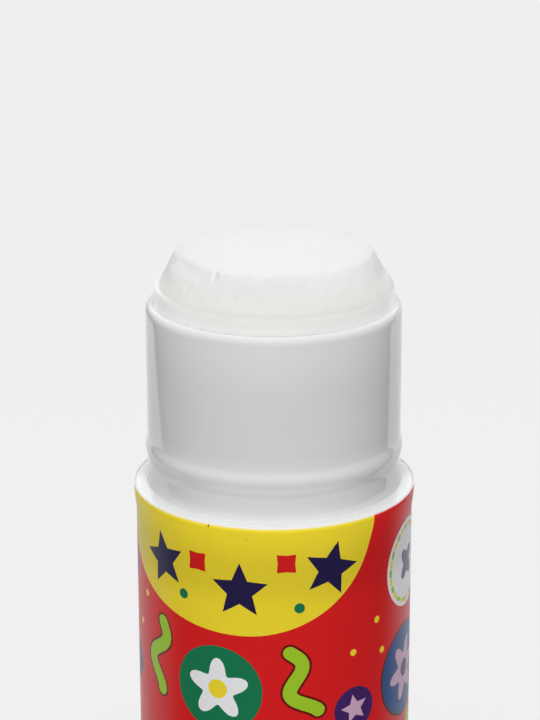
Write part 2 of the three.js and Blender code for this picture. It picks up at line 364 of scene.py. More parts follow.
def add_bump(nodes, links, shader, texture, distance):
    """Relief of a given depth in metres from a noise."""
    relief = nodes.new("ShaderNodeBump")
    relief.inputs["Distance"].default_value = distance
    relief.inputs["Strength"].default_value = 1.0
    links.new(texture.outputs["Fac"], relief.inputs["Height"])
    links.new(relief.outputs["Normal"], shader.inputs["Normal"])


def add_tint(nodes, links, shader, texture, first, second, low=0.35, high=0.65):
    """Colour that wanders between two shades with a noise."""
    tint = nodes.new("ShaderNodeValToRGB")
    for element, position, color in zip(tint.color_ramp.elements, (low, high), (first, second)):
        element.position = position
        element.color = color
    links.new(texture.outputs["Fac"], tint.inputs["Fac"])
    links.new(tint.outputs["Color"], shader.inputs["Base Color"])


def scaled(nodes, links, color, amount):
    """A colour times a value or another colour."""
    node = nodes.new("ShaderNodeVectorMath")
    node.operation = "MULTIPLY"
    links.new(color, node.inputs[0])
    links.new(amount, node.inputs[1])
    return node.outputs[0]


def attribute(nodes, name):
    node = nodes.new("ShaderNodeAttribute")
    node.attribute_name = name
    return node.outputs["Color"]


def plastic(name, first, second, roughness, grain=0.0, subsurface=0.0, glow=False):
    """Moulded plastic with a faint change of shade and, where it has them, a fine grain and painted light and
    shade read from a glow attribute.
    """
    material, nodes, links, shader = new_material(name)
    add_tint(nodes, links, shader, noise_node(nodes, links, 90), first, second)
    if glow:
        color = shader.inputs["Base Color"].links[0].from_socket
        links.new(scaled(nodes, links, color, attribute(nodes, "glow")), shader.inputs["Base Color"])
    shader.inputs["Roughness"].default_value = roughness
    shader.inputs["IOR"].default_value = 1.49
    if subsurface:
        shader.inputs["Subsurface Weight"].default_value = subsurface
        shader.inputs["Subsurface Radius"].default_value = (1.0, 1.0, 1.0)
        shader.inputs["Subsurface Scale"].default_value = 0.8 * MM
    if grain:
        add_bump(nodes, links, shader, noise_node(nodes, links, 2200, 4.0), grain)
    return material


INK_COLORS = {
    "red": srgb(218, 31, 33),
    "yellow": srgb(242, 218, 50),
    "navy": srgb(37, 31, 71),
    "green": srgb(26, 120, 79),
    "lime": srgb(167, 201, 48),
    "dark_red": srgb(109, 20, 26),
    "blue": srgb(45, 82, 141),
    "purple": srgb(67, 37, 101),
    "lilac": srgb(213, 175, 199),
    "slate": srgb(90, 94, 122),
    "white": srgb(240, 240, 242),
    "ochre": srgb(216, 188, 42),
}
INKS = list(INK_COLORS)

# The inks with a dot screen, with the tint of their dots, and the screen's pitch in millimetres, turn and
# softness
SCREENED = {"lime": (0.80, 1.0, 0.62), "lilac": (0.94, 0.86, 0.93), "blue": (0.66, 0.86, 0.88)}
SCREEN_PITCH = 0.21
SCREEN_TURN = math.radians(18)
SCREEN_EDGE = 0.6

# The film's shades, in millimetres under its cut edge: a band of painted shade, in place of a darker
# reflection, a paler rise towards the edge, and the edge itself, where the ink is worn off
BAND_FOOT, BAND_TOP, BAND_PAINTED_SHADE = 8.6, 5.4, 0.87
RISE_FOOT, RISE_TOP, RISE_SHADE = 4.5, 0.3, 1.22
WORN_DEPTH = 0.26
WORN_INK = (0.82, 0.82, 0.82, 1.0)
FILM_ROUGHNESS = 0.34
FILM_IOR = 1.33


def dot_screen(nodes, links, split):
    """The print's dot screen: 1 in the dots and 0 between them, on the film's flat map in millimetres."""
    waves = []
    for turn in (SCREEN_TURN, SCREEN_TURN + math.pi / 2):
        rates = (2 * math.pi * math.cos(turn) / SCREEN_PITCH, 2 * math.pi * math.sin(turn) / SCREEN_PITCH)
        across, up = [math_node(nodes, links, "MULTIPLY", split.outputs[axis], rate)
                      for axis, rate in zip("XY", rates)]
        waves.append(math_node(nodes, links, "SINE", math_node(nodes, links, "ADD", across, up), 0.0))
    return ramp_node(nodes, links, math_node(nodes, links, "ADD", *waves), -SCREEN_EDGE, SCREEN_EDGE)


def ink_material(name):
    """Printed glossy film: an ink with a little unevenness under a smooth surface. Some inks have dots."""
    color = INK_COLORS[name]
    darker = tuple(channel * 0.97 for channel in color[:3]) + (1.0,)
    material, nodes, links, shader = new_material("film_" + name)
    add_tint(nodes, links, shader, noise_node(nodes, links, 500, 5.0, 0.7), darker, color, 0.3, 0.55)
    flat = nodes.new("ShaderNodeUVMap")
    flat.uv_map = "flat_print"
    split = nodes.new("ShaderNodeSeparateXYZ")
    links.new(flat.outputs["UV"], split.inputs[0])
    if name in SCREENED:
        dots = mixed_color(nodes, links, dot_screen(nodes, links, split), (1, 1, 1, 1), (*SCREENED[name], 1))
        plain = shader.inputs["Base Color"].links[0].from_socket
        links.new(scaled(nodes, links, plain, dots), shader.inputs["Base Color"])
    up = split.outputs["Y"]
    if name != "navy":
        # Painted shade: a darker band below the edge, for a darker reflection
        painted_band = ramp_node(nodes, links, up, PRINT_TOP - BAND_FOOT, PRINT_TOP - BAND_TOP, 1.0, BAND_PAINTED_SHADE)
        rise = ramp_node(nodes, links, up, PRINT_TOP - RISE_FOOT, PRINT_TOP - RISE_TOP, 1.0, RISE_SHADE)
        bright = math_node(nodes, links, "MULTIPLY", painted_band, rise)
        plain = shader.inputs["Base Color"].links[0].from_socket
        worn = ramp_node(nodes, links, up, PRINT_TOP - WORN_DEPTH, PRINT_TOP)
        faded = mixed_color(nodes, links, worn, scaled(nodes, links, plain, bright), WORN_INK)
        links.new(faded, shader.inputs["Base Color"])
    shader.inputs["Roughness"].default_value = FILM_ROUGHNESS
    shader.inputs["IOR"].default_value = FILM_IOR
    return material


def glue_material():
    """Solid glue: waxy and pale, with painted light and shade in its colour, a painted glow at its sides and
    a faint cloudiness.
    """
    material, nodes, links, shader = new_material("solid_glue")
    cloud = ramp_node(nodes, links, noise_node(nodes, links, 420, 5.0, 0.6).outputs["Fac"], 0.3, 0.7,
                      0.985, 1.0)
    links.new(scaled(nodes, links, attribute(nodes, "shade"), cloud), shader.inputs["Base Color"])
    shader.inputs["Roughness"].default_value = 0.5
    shader.inputs["IOR"].default_value = 1.4
    shader.inputs["Subsurface Weight"].default_value = 1.0
    shader.inputs["Subsurface Radius"].default_value = (1.0, 1.0, 0.9)
    shader.inputs["Subsurface Scale"].default_value = GLUE_DEPTH
    # Painted light: the glue glows by its light attribute, most at its sides
    links.new(attribute(nodes, "light"), shader.inputs["Emission Color"])
    shader.inputs["Emission Strength"].default_value = 1.0
    shader.inputs["Sheen Weight"].default_value = 0.12
    shader.inputs["Sheen Roughness"].default_value = 0.5
    add_bump(nodes, links, shader, noise_node(nodes, links, 900, 5.0, 0.65), 0.012 * MM)
    return material


# Pieces

def neck_outline():
    """The neck from the shoulder's fillet up to the rim, with the snap bead."""
    foot = NECK_RADIUS - NECK_STEP
    points = arc((foot + NECK_FILLET, SHOULDER + NECK_FILLET), NECK_FILLET, 270, 180, 8)
    start, end, steps = 0.6 * MM, 5.3 * MM, 56
    for height in [start] + span(start, end, steps) + [end]:
        bead = BEAD_PROUD * bump(height, BEAD_HEIGHT, BEAD_BELOW, BEAD_ABOVE)
        step = NECK_STEP * ramp(height, 3.9 * MM, 2.6 * MM)
        points.append((NECK_RADIUS + bead - step, SHOULDER + height))
    points += [(NECK_RADIUS, height) for height in span(SHOULDER + end, RIM - LIP_DEPTH, 14)]
    steps = 16
    for i in range(steps + 1):
        angle = math.pi / 2 * i / steps
        points.append((NECK_RADIUS - LIP_WIDTH * (1 - math.cos(angle)),
                       RIM - LIP_DEPTH * (1 - math.sin(angle))))
    return points + arc((BORE_RADIUS + LIP_INNER, RIM - LIP_INNER), LIP_INNER, 90, 180, 5)


def flare_outline(radius, top):
    """A straight wall's outline up through its flare below the shoulder."""
    start, end = SHOULDER - FLARE_START, SHOULDER - FLARE_END
    heights = [start] + span(start, end, 8) + [end]
    flare = [(radius + FLARE * ramp(height, start, end), height) for height in heights]
    return flare + [(radius + FLARE, top)]


def painted_wall_light(_, place):
    """Painted light and shade on the wall: lighter at the ring, more so behind, near the glue and round the
    bead, darker at the neck's foot.
    """
    radius = math.hypot(place.x, place.y)
    height = (place.z - SHOULDER) / MM
    aside = abs(place.x) / radius
    behind = ramp(place.y / radius, -0.35, 0.25)
    on_neck = height > 8
    on_ring = radius > NECK_RADIUS + 0.2 * MM and height > -0.2
    if on_neck:
        near_glue = ramp(place.z, RIM - 6 * MM, RIM - 1 * MM)
        on_rim = ramp(place.z, RIM - 0.9 * MM, RIM - 0.5 * MM)
        glow = 0.08 * near_glue + on_rim * (0.05 * ramp(aside, 0.4, 0.95) - 0.09)
    elif on_ring:
        glow = 0.125 + 0.16 * behind
    else:
        foot = ramp(height, -0.1, 0.2) * (1 - ramp(height, 2.0, 3.0))
        bead_line = bump(height, 2.93, 0.5, 0.7) * (1 - ramp(aside, 0.3, 0.85))
        glow = 0.175 * bead_line + 0.035 * bump(height, 2.2, 0.45, 0.6)
        glow += 0.07 * bump(height, 4.7, 1.0, 1.3)
        glow -= foot * (0.02 + 0.06 * ramp(aside, 0.4, 0.9))
        glow -= 0.05 * bump(height, 3.0, 1.0, 0.8) * ramp(aside, 0.5, 0.9)
    return (0.996 + glow, 1 + glow, 1.006 + glow)


def make_barrel(material):
    """The barrel's shell, from the socket's foot up the outside and down through the bore."""
    socket = BODY_RADIUS - SOCKET_WALL
    groove = BARREL_FOOT + SNAP_HEIGHT
    socket_top = BARREL_FOOT + SOCKET_DEPTH
    profile = [(socket, BARREL_FOOT)]
    profile += arc((BODY_RADIUS - BODY_EDGE, BARREL_FOOT + BODY_EDGE), BODY_EDGE, 270, 360, 5)
    profile += flare_outline(BODY_RADIUS, SHOULDER - SHOULDER_EDGE)
    profile += arc((BODY_RADIUS + FLARE - SHOULDER_EDGE, SHOULDER - SHOULDER_EDGE), SHOULDER_EDGE,
                   22, 90, 4)
    profile += neck_outline()
    profile += [
        (BORE_RADIUS, socket_top),
        (socket, socket_top),
        (socket, groove + SNAP_HALF),
        (socket + SNAP_DEPTH, groove),
        (socket, groove - SNAP_HALF),
    ]
    vertices, faces = turned(profile)
    piece = add_mesh("barrel_shell", vertices, faces, material, "barrel")
    # The wall's painted light and shade, which its material multiplies into its colour
    add_shades(piece, "glow", painted_wall_light)
    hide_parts("barrel")


def make_knob(material):
    """The twist knob: a ribbed cup with a flat foot, a snap collar and the screw's socket."""
    wall = BODY_RADIUS - GRIP_RADIUS
    top = knob_low.z + KNOB_HEIGHT
    collar = BODY_RADIUS - SOCKET_WALL - COLLAR_CLEARANCE
    cavity = collar - COLLAR_WALL
    floor = knob_low.z + KNOB_FLOOR
    boss_top = floor + BOSS_HEIGHT
    snap = BARREL_FOOT + SNAP_HEIGHT
    low, high = knob_low.z + GRIP_MARGIN, top - GRIP_MARGIN
    dish = wall - FOOT_RING
    profile = [(0, FOOT_DISH)] + [(dish * part - FOOT_DISH, FOOT_DISH) for part in (0.3, 0.6, 0.9, 1)]
    profile += [(dish, 0)] + arc((wall - FOOT_ROUNDING, FOOT_ROUNDING), FOOT_ROUNDING, 270, 360, 8)
    heights = [low - GRIP_SEAM, low] + span(low, low + GRIP_RADIUS, 8)
    heights += span(low + GRIP_RADIUS, high - GRIP_RADIUS, 10)
    heights += span(high - GRIP_RADIUS, high, 8) + [high, high + GRIP_SEAM]
    profile += [(wall, height) for height in heights]
    profile += arc((wall - KNOB_EDGE, top - KNOB_EDGE), KNOB_EDGE, 0, 90, 4)
    profile += [
        (collar, top),
        (collar, snap - COLLAR_SNAP_HALF),
        (collar + SNAP_DEPTH, snap),
        (collar, snap + COLLAR_SNAP_HALF),
        (collar, knob_high.z - KNOB_EDGE),
        (collar - KNOB_EDGE, knob_high.z),
        (cavity, knob_high.z),
        (cavity, floor),
        (BOSS_RADIUS, floor),
        (BOSS_RADIUS, boss_top),
        (HEXAGON, boss_top),
        (HEXAGON, floor),
        (0, floor),
    ]

    def ribbed(point, angle):
        """Points of the socket moved out to a hexagon, and points of the wall onto the grip ribs."""
        radius = math.hypot(point.x, point.y)
        if abs(radius - HEXAGON) < SAME:
            part = angle % (math.pi / 3) - math.pi / 6
            return Vector((point.x / math.cos(part), point.y / math.cos(part), point.z))
        if abs(radius - wall) > SAME or not low < point.z < high:
            return point
        step = 2 * math.pi / GRIP_RIBS
        across = wall * ((angle + step / 2) % step - step / 2) / GRIP_RADIUS
        end = min(point.z - low, high - point.z, GRIP_RADIUS) / GRIP_RADIUS
        proud = max(1 - across * across, 0) ** 0.5 * max(1 - (1 - end) ** 2, 0) ** 0.5
        scale = 1 + GRIP_RADIUS * proud / wall
        return Vector((point.x * scale, point.y * scale, point.z))

    vertices, faces = turned(profile, GRIP_RIBS * RIB_ROUND, ribbed)
    for i in range(KNOB_WEBS):
        turn = Matrix.Rotation(2 * math.pi * i / KNOB_WEBS, 3, "Z")
        first = len(vertices)
        for x in (BOSS_RADIUS - WEB_ROOT, cavity + WEB_ROOT):
            for y, z in ((-1, 0), (1, 0), (1, 1), (-1, 1)):
                vertices.append(turn @ Vector((x, WEB_HALF * y, floor - WEB_ROOT + WEB_HEIGHT * z)))
        faces += [[first + k for k in face] for face in
                  ((0, 3, 2, 1), (4, 5, 6, 7), (0, 1, 5, 4), (1, 2, 6, 5), (2, 3, 7, 6), (3, 0, 4, 7))]
    piece = add_mesh("ribbed_knob", vertices, faces, material, "knob", sharp=50)
    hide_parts("twist_knob")


def facing(angle, centre, reach):
    """1 at an azimuth in degrees from the photographed side, to the right, and 0 beyond a reach."""
    part = abs((math.degrees(angle) + 90 - centre + 180) % 360 - 180) / reach
    return (1 + math.cos(math.pi * part)) / 2 if part < 1 else 0


def make_glue(material):
    """The glue's column: a cast cone and flat top, ragged where it has been cut and rubbed."""
    low, high = GLUE_TOP - CONE_HEIGHT, GLUE_TOP
    top_radius = GLUE_RADIUS - CONE_WIDTH
    cup_rim = glue_low.z + CUP_STEP + GLUE_CLEARANCE
    foot_radius = BORE_RADIUS - CARRIER_CLEARANCE - CUP_WALL - GLUE_CLEARANCE
    bore_top = RIM - GLUE_BORE_DROP
    side = BORE_RADIUS - GLUE_SIDE_GAP
    side_top = low - CONE_FOOT_DROP
    fine_side = low - 3 * MM
    fine_top = top_radius - 1.5 * MM
    profile = [(0, bore_top), (GLUE_BORE, bore_top), (GLUE_BORE, glue_low.z), (foot_radius, glue_low.z),
               (foot_radius, cup_rim), (side, cup_rim)]
    profile += [(side, height) for height in span(cup_rim, fine_side, 12)]
    profile += [(side, height) for height in span(fine_side, side_top, 32)]
    profile += arc((side - CONE_FOOT_ROUNDING, side_top), CONE_FOOT_ROUNDING, 0, 29, 8)

    # The straight cone joins its foot's rounding to its edge's
    cone_foot = profile[-1]
    cone_top = (top_radius - CONE_EDGE * 0.14, high - CONE_EDGE * 0.48)
    profile += [(cone_foot[0] + (cone_top[0] - cone_foot[0]) * part,
                 cone_foot[1] + (cone_top[1] - cone_foot[1]) * part) for part in span(0, 1, 36)]
    profile += arc((top_radius - CONE_EDGE, high - CONE_EDGE), CONE_EDGE, 30, 90, 7)
    profile += [(radius, high) for radius in span(top_radius - CONE_EDGE, fine_top, 14)]
    profile += [(radius, high) for radius in span(fine_top, 0, 30)]
    profile.append((0, high))
    colors, lights = [], []

    def worn(point, angle):
        """Where wear has left a point of the cast form. Its colour, with painted shade, and its painted light
        are noted on the way.
        """
        radius = math.hypot(point.x, point.y)
        around = Vector((math.cos(angle), math.sin(angle), 0))
        up = point.z / MM
        above = (point.z - low) / MM
        grain = noise.noise(around * 14 + Vector((0, 0, up * 1.4)))
        streaks = noise.noise(around * 26 + Vector((5, 5, up * 0.35)))
        flakes = noise.noise(around * 62 + Vector((0, 0, up * 3)))
        chips = noise.noise(around * 95 + Vector((3, 1, 0)))
        tilted = ramp(above, -0.35, 0.1)
        on_cone = tilted * (1 - ramp(radius, top_radius + 0.05 * MM, top_radius - 0.45 * MM))
        on_top = ramp(radius, top_radius, top_radius - 0.35 * MM) if above > 2.5 else 0
        foot_line = bump(above, 0.15 + 0.1 * noise.noise(around * 9), 0.3, 0.3)
        near_edge = ramp(above, 1.9, 3.1) * ramp(radius, top_radius - 2 * MM, top_radius - 0.4 * MM)
        cut = facing(angle, *CUT)
        nick = facing(angle, *NICK) * near_edge
        rag = facing(angle, *RAG) * bump(above, 0.9, 0.8, 1.0) * (0.3 + 1.3 * flakes)
        mark = facing(angle, *MARK) * bump(above, 1.6, 0.35, 0.35)
        fleck = facing(angle, *FLECK) * bump(above, 3.0, 0.25, 0.25)
        scraped = facing(angle, *SCRAPE) * ramp(above, 0.1, 0.2) * max(1 - above / 3.3, 0)

        # How far a point moves inward, outward and up, in millimetres
        inward = 0.012 * abs(grain) * (1 - on_cone)
        inward += 0.04 * facing(angle, *DENT) * bump(above, -1.2, 1.4, 0.9) - 0.025 * facing(angle, *SWELLING)
        inward += on_cone * (0.03 * grain + 0.03 * streaks)
        inward += 0.42 * scraped + 0.12 * facing(angle, *RUBBED) * bump(above, 1.5, 1.0, 1.2)
        inward += 0.02 * foot_line + 0.25 * near_edge * cut + 0.2 * nick * near_edge + 0.04 * mark
        inward += 0.07 * near_edge ** 4 * max(chips, 0) * cut
        outward = 0.16 * rag + 0.05 * fleck
        rise = near_edge ** 3 * (0.04 * facing(angle, *NICK_LIP) - 0.06 * nick)
        rise -= near_edge ** 4 * (0.01 + 0.05 * max(chips, 0) * (0.15 + cut))
        flat = Vector((point.x, point.y, 0)) / MM
        rise += on_top * (0.02 * noise.noise(flat * 0.55) + 0.008 * noise.noise(flat * 2.3) - 0.02)

        # Its colour, with painted shade: paler towards the back, paler at the side than on the cone and top,
        # and darker in the marks
        away = ramp(-math.sin(angle), 1.0, 0.2)
        color = Vector(SIDE_PAINTED_SHADE) * (0.94 + 0.06 * away)
        cone = Vector(FOOT_PAINTED_SHADE).lerp(Vector(HEAD_PAINTED_SHADE), ramp(above, 0.6, 3.0)) * (1 + 0.1 * away)
        # Painted light: the cone lighter on its two sides
        painted_light = 0.055 * facing(angle, *PAINTED_LIGHT_RIGHT) + 0.01 * facing(angle, *PAINTED_LIGHT_LEFT)
        cone *= 1.01 + painted_light * ramp(above, 0.2, 2.6)
        color = color.lerp(cone, tilted)
        # Painted shade along the top's edge, against the light that its rounding catches
        painted_edge_shade = 0.06 * ramp(radius, top_radius - 0.8 * MM, top_radius - 0.25 * MM)
        top = Vector(TOP_PAINTED_SHADE) * (1 - 0.04 * ramp(radius, 4 * MM, 9.5 * MM) * away - painted_edge_shade)
        color = color.lerp(top, on_top)
        # Painted shade: a line at the cone's foot, a shadow under the cut edge, in the nick and in the gap
        # beside the dent; darker too at the mark and the speck
        painted_cut_shadow = bump(radius + 0.3 * MM * chips, top_radius - 0.25 * MM, 0.2 * MM, 0.2 * MM)
        painted_rim_shade = bump(radius, top_radius - 0.12 * MM, 0.22 * MM, 0.2 * MM) * ramp(above, 2.8, 3.1)
        painted_shade_and_marks = 0.035 * foot_line + (0.08 * painted_cut_shadow * cut if above > 2.6 else 0)
        painted_shade_and_marks += (0.06 + 0.06 * cut) * painted_rim_shade
        painted_shade_and_marks += 0.08 * facing(angle, *SPECK) * bump(radius, 6.46 * MM, 0.3 * MM, 0.3 * MM) * on_top
        painted_shade_and_marks += 0.06 * mark + 0.06 * nick * near_edge ** 3
        painted_shade_and_marks += 0.12 * facing(angle, *DENT_SHADE) * bump(above, -1.3, 0.8, 0.6)
        colors.append(color * (1 - painted_shade_and_marks))

        # Painted light: a glow at its sides and next to the rim, for the light that the translucent glue
        # passes on
        aside = abs(math.cos(angle))
        edge_on = ramp(aside, 0.9, 1.0)
        level = 0.1 * ramp(aside, 0.3, 0.9) + 0.09 * edge_on + 0.04 * ramp(math.cos(angle), 0.7, 0.9)
        level *= ramp(above, 0.3, -0.4)
        level = level * (1 - 0.3 * ramp(above, -0.6, -1.5)) + 0.05 * edge_on * ramp(above, 2.0, 0.3)
        lights.append((level, level, level * 0.96))
        in_bore = radius < GLUE_BORE + 0.1 * MM and above < 2
        if in_bore or point.z < cup_rim + MM:
            return point
        scale = 1 + (outward - inward) * MM / max(radius, MM)
        return Vector((point.x * scale, point.y * scale, min(point.z + rise * MM, high)))

    vertices, faces = turned(profile, GLUE_ROUND, worn)
    piece = add_mesh("glue_column", vertices, faces, material, "carriage", sharp=60)
    add_shades(piece, "shade", lambda index, place: colors[index])
    add_shades(piece, "light", lambda index, place: lights[index])
    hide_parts("glue")


# The film's print

def disc(across, up, radius, steps=40):
    """A round spot."""
    return [polar(across, up, radius, 2 * math.pi * i / steps) for i in range(steps)]


def star(across, up, outer, inner, points=5, turn=90):
    """A star with points as far out as one radius and notches as far in as another."""
    outline = []
    for i in range(2 * points):
        angle = math.radians(turn + 180 * i / points)
        outline.append(polar(across, up, inner if i % 2 else outer, angle))
    return outline


def flower(across, up, radius, petals=5, turn=0, steps=60):
    """A simple flower with round petals."""
    outline = []
    for i in range(steps):
        angle = 2 * math.pi * i / steps
        reach = radius * (0.76 + 0.24 * math.cos(petals * (angle - math.radians(turn))))
        outline.append(polar(across, up, reach, angle))
    return outline


def stroke(path, width, cap_steps=8):
    """The outline of a line of a given width along a path, with round ends."""
    sides = [[], []]
    for i, (across, up) in enumerate(path):
        before, after = path[max(i - 1, 0)], path[min(i + 1, len(path) - 1)]
        heading = math.atan2(after[1] - before[1], after[0] - before[0])
        for side, turn in zip(sides, (math.pi / 2, -math.pi / 2)):
            side.append(polar(across, up, width / 2, heading + turn))

    def cap(end, before):
        heading = math.atan2(end[1] - before[1], end[0] - before[0])
        angles = [heading + math.pi * (0.5 - i / cap_steps) for i in range(1, cap_steps)]
        return [polar(*end, width / 2, angle) for angle in angles]

    return sides[0] + cap(path[-1], path[-2]) + sides[1][::-1] + cap(path[0], path[1])


def curl(across, up, width, height, waves, turn=0, steps=40):
    """A wavy line that runs down from a point, turned by an angle in degrees."""
    path = []
    for i in range(steps + 1):
        part = i / steps
        x = width * math.sin(2 * math.pi * waves * part) * (0.6 + 0.4 * part)
        y = height * (0.5 - part)
        c, s = math.cos(math.radians(turn)), math.sin(math.radians(turn))
        path.append((across + x * c - y * s, up + x * s + y * c))
    return path


def half_oval(across, left, right, depth, steps=60):
    """An oval's lower half, cut off by the film's top edge and wider on one side."""
    outline = []
    for i in range(steps + 1):
        angle = math.pi * (1 + i / steps)
        reach = left if 2 * i < steps else right
        outline.append((across + reach * math.cos(angle), PRINT_TOP + depth * math.sin(angle)))
    return outline


def edge_line(up):
    """A level line round the film from right to left, with the points that its ragged cut edge needs."""
    return [(PRINT_WIDTH * (0.5 - i / EDGE_POINTS), up) for i in range(EDGE_POINTS + 1)]


def wave_band(top, swing, waves, steps=96):
    """A band all round the film's foot with a wavy upper edge."""
    half = PRINT_WIDTH / 2
    upper = [(half - PRINT_WIDTH * i / steps, top + swing * math.sin(2 * math.pi * waves * i / steps))
             for i in range(steps + 1)]
    return [(-half, PRINT_FOOT), (half, PRINT_FOOT)] + upper


def rounded_panel(left, right, foot, top, radius, steps=8):
    """An oblong with round corners."""
    outline = []
    for across, up, start in ((right - radius, top - radius, 0), (left + radius, top - radius, 90),
                              (left + radius, foot + radius, 180), (right - radius, foot + radius, 270)):
        outline += arc((across, up), radius, start, start + 90, steps)
    return outline


def dashed_ring(across, up, radius, count, width):
    """The outlines of a ring's dashes, one after another."""
    dashes = []
    for i in range(count):
        angles = [2 * math.pi * (i + part) / count for part in (-0.24, 0, 0.24)]
        dashes.append(stroke([polar(across, up, radius, angle) for angle in angles], width, 4))
    return dashes


def print_shapes():
    """The print's shapes as (ink, outline) from the lowest layer to the top one."""
    shapes = [("yellow", half_oval(-3.3, 17.2, 13.2, 10.75))]
    for across, up, tilt in ((-11.6, -4.9, 12), (-3.2, -6.3, 0), (5.3, -4.4, -14)):
        shapes.append(("navy", star(across, up, 2.75, 1.25, 5, 90 + tilt)))
    for across, up in ((-7.4, -4.0), (1.1, -3.5)):
        shapes.append(("red", star(across, up, 1.25, 0.8, 4, 45)))
    for across, up in ((-9.0, -7.6), (2.3, -7.9)):
        shapes.append(("green", disc(across, up, 0.5, steps=20)))
    shapes += [
        ("green", disc(-5.4, -16.3, 4.3)),
        ("white", flower(-5.4, -16.3, 3.1, 5, 18)),
        ("yellow", disc(-5.4, -16.3, 0.95, steps=24)),
    ]
    for path in (curl(-12.6, -14.6, 1.15, 6.8, 1.25, -12), curl(2.2, -15.4, 1.2, 6.4, 1.2, 14)):
        shapes += [("dark_red", stroke(path, 1.75)), ("lime", stroke(path, 1.3))]
    shapes += [
        ("purple", disc(7.9, -18.9, 2.2)),
        ("lilac", star(7.9, -18.9, 1.5, 0.7, 5, 100)),
        ("dark_red", disc(16.0, -17.6, 4.75)),
        ("blue", disc(16.0, -17.6, 4.5)),
        ("lilac", flower(16.0, -17.6, 3.2, 6, 10)),
        ("purple", disc(16.0, -17.6, 0.9, steps=24)),
        ("white", disc(16.4, -6.9, 4.3)),
    ]
    for i, dash in enumerate(dashed_ring(16.4, -6.9, 3.7, 26, 0.42)):
        shapes.append(("lime" if i % 2 else "yellow", dash))
    shapes += [
        ("slate", flower(16.4, -6.9, 1.9, 4, 45)),
        ("purple", disc(-18.6, -17.5, 1.9)),
        ("blue", disc(-19.5, -8.0, 1.6)),
    ]
    for across, up in ((10.6, -10.7), (-14.9, -9.5), (7.7, -13.2), (-16.4, -12.9), (11.4, -14.0)):
        shapes.append(("yellow", disc(across, up, 0.34, steps=16)))
    shapes += [
        ("navy", [(-6.13, -0.4), (-6.03, -0.4), (-6.0, -0.08), (-6.09, -0.08)]),
        ("ochre", [(-2.68, -1.15), (-2.34, -1.2), (-2.36, -1.1), (-2.7, -1.06)]),
    ]
    bare_edge = edge_line(PRINT_TOP) + edge_line(PRINT_TOP - CUT_EDGE)[::-1]
    return shapes + lower_shapes() + [("white", bare_edge)]


def lower_shapes():
    """The print below and behind the photograph's view: wavy foot bands, a bare panel and strewn motifs."""
    shapes = [
        ("lime", wave_band(-50.0, 1.5, 4)),
        ("blue", wave_band(-51.6, 1.5, 4)),
        ("yellow", rounded_panel(23.2, 38.8, -44.8, -4.2, 3.0)),
        ("white", rounded_panel(24.2, 37.8, -43.8, -5.2, 2.2)),
    ]
    draw = random.Random(11)
    placed = []
    kinds = ["star", "flower", "disc", "curl", "dots"]
    for _ in range(MOTIF_TRIES):
        size = draw.choice(MOTIF_SIZES)
        across = draw.uniform(*MOTIFS_ACROSS)
        up = draw.uniform(*MOTIFS_UP)
        photographed = across > PHOTO_LEFT and up > PHOTO_FOOT
        if photographed or across - 1.2 * size < -PRINT_WIDTH / 2:
            continue
        if any(math.hypot(across - a, up - b) < size + c + MOTIF_GAP for a, b, c in placed):
            continue
        placed.append((across, up, size))
        kind = kinds[len(placed) % len(kinds)]
        ink = MOTIF_INKS[draw.randrange(5)]
        turn = draw.uniform(0, 72)
        if kind == "star":
            shapes.append((ink, star(across, up, size, size * 0.46, 5, turn)))
        elif kind == "flower":
            shapes += [(ink, flower(across, up, size, 5, turn)),
                       ("white", disc(across, up, size * 0.3, steps=20))]
        elif kind == "disc":
            shapes += [(ink, disc(across, up, size * 0.85)),
                       ("white", star(across, up, size * 0.55, size * 0.28, 5, turn))]
        elif kind == "curl":
            path = curl(across, up, size * 0.3, size * 1.5, 1.2, turn)
            shapes += [("dark_red", stroke(path, size * 0.42)), ("lime", stroke(path, size * 0.3))]
        else:
            for i in range(3):
                middle = polar(across, up, size * 0.5, math.radians(turn + 120 * i))
                shapes.append((ink, disc(*middle, size * 0.26, steps=16)))
    return shapes


def inside(points, outline):
    """Which of many points lie inside an outline."""
    result = np.zeros(len(points), bool)
    corners = np.array(outline)
    x, y = points[:, 0], points[:, 1]
    for (x1, y1), (x2, y2) in zip(corners, np.roll(corners, -1, axis=0)):
        if y1 == y2:
            continue
        crosses = (y1 > y) != (y2 > y)
        result ^= crosses & (x < (x2 - x1) * (y - y1) / (y2 - y1) + x1)
    return result


def flat_print():
    """The flat print as points, triangles and the ink of each triangle."""
    half = PRINT_WIDTH / 2
    points = []
    edges = []

    def line(outline, closed):
        first = len(points)
        points.extend(Vector(point) for point in outline)
        edges.extend((first + i, first + i + 1) for i in range(len(outline) - 1))
        if closed:
            edges.append((len(points) - 1, first))

    line([(-half, PRINT_FOOT), (half, PRINT_FOOT)] + edge_line(PRINT_TOP), True)
    for i in range(1, PRINT_COLUMNS):
        across = -half + PRINT_WIDTH * i / PRINT_COLUMNS
        line([(across, PRINT_FOOT), (across, PRINT_TOP)], False)
    flare_top, flare_foot = -FLARE_END / MM, -FLARE_START / MM
    for up in [PRINT_TOP - EDGE_ROW, flare_top] + span(flare_top, flare_foot, 8) + [flare_foot]:
        line([(-half, up), (half, up)], False)
    shapes = print_shapes()
    for _, outline in shapes:
        line(outline, True)
    flat, _, triangles, *_ = delaunay_2d_cdt(points, edges, [], 0, 1e-5)
    flat = np.array(flat)
    triangles = np.array(triangles)
    middles = flat[triangles].mean(axis=1)
    inks = np.full(len(triangles), INKS.index("red"))
    for ink, outline in shapes:
        inks[inside(middles, outline)] = INKS.index(ink)
    return flat, triangles, inks


def film_radius(up):
    """The film's outer radius at a height above the shoulder, both in millimetres."""
    return PRINT_RADIUS + FLARE / MM * ramp(up, -FLARE_START / MM, -FLARE_END / MM)


